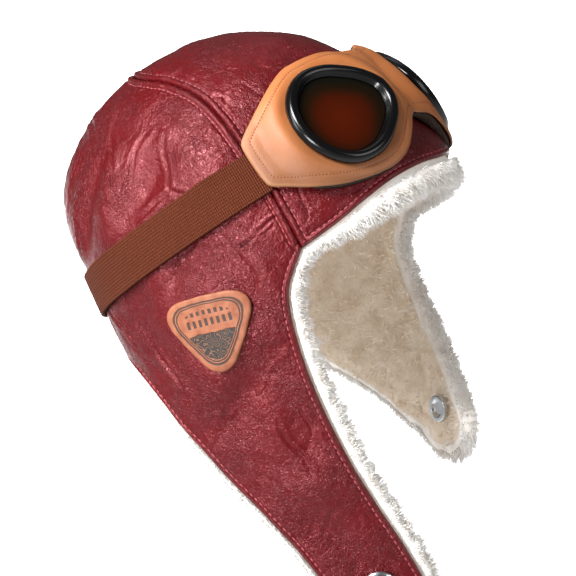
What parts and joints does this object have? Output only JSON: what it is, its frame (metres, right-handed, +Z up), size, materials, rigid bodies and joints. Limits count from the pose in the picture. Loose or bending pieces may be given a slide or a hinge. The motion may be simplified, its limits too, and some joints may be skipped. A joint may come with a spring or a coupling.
{
  "type": "lined leather winter hat with goggles",
  "caption": "Child's leather flying-style winter hat: round crown with two hanging ear flaps, fleece lining and edge, goggles on a strap round the crown.",
  "frame": {"origin": "the head seat: the inside top of the fleece lining, on the middle line between the two sides", "axes": "+Z up as worn, -Y towards the brow, +Y towards the back of the head, -X the wearer's right, +X the wearer's left"},
  "size_m": [0.1661, 0.2121, 0.2889],
  "materials": {
    "leather": "semi-gloss burgundy coated leather with a fine crackled grain",
    "fleece": "off-white tufted fleece",
    "tan_leather": "matt tan leather with a topstitched edge",
    "backing": "dark brown felt backing",
    "black_rim": "glossy black moulded plastic",
    "amber_lens": "smoked dark amber plastic lens",
    "elastic": "brown woven elastic with fine lengthwise ribs",
    "steel": "polished nickel-plated steel"
  },
  "bodies": {
    "root": {"crown_front_panel": "leather", "side_panel_right": "leather", "side_panel_left": "leather", "fleece_lining": "fleece", "goggle_mask": "tan_leather", "mask_padding": "backing", "lens_rim_right": "black_rim", "lens_rim_left": "black_rim", "lens_right": "amber_lens", "lens_left": "amber_lens", "goggle_strap": "elastic", "flap_patch": "tan_leather", "snap_cap_right": "steel", "snap_cap_left": "steel", "snap_socket_right": "steel", "snap_socket_left": "steel"}
  },
  "joints": []
}
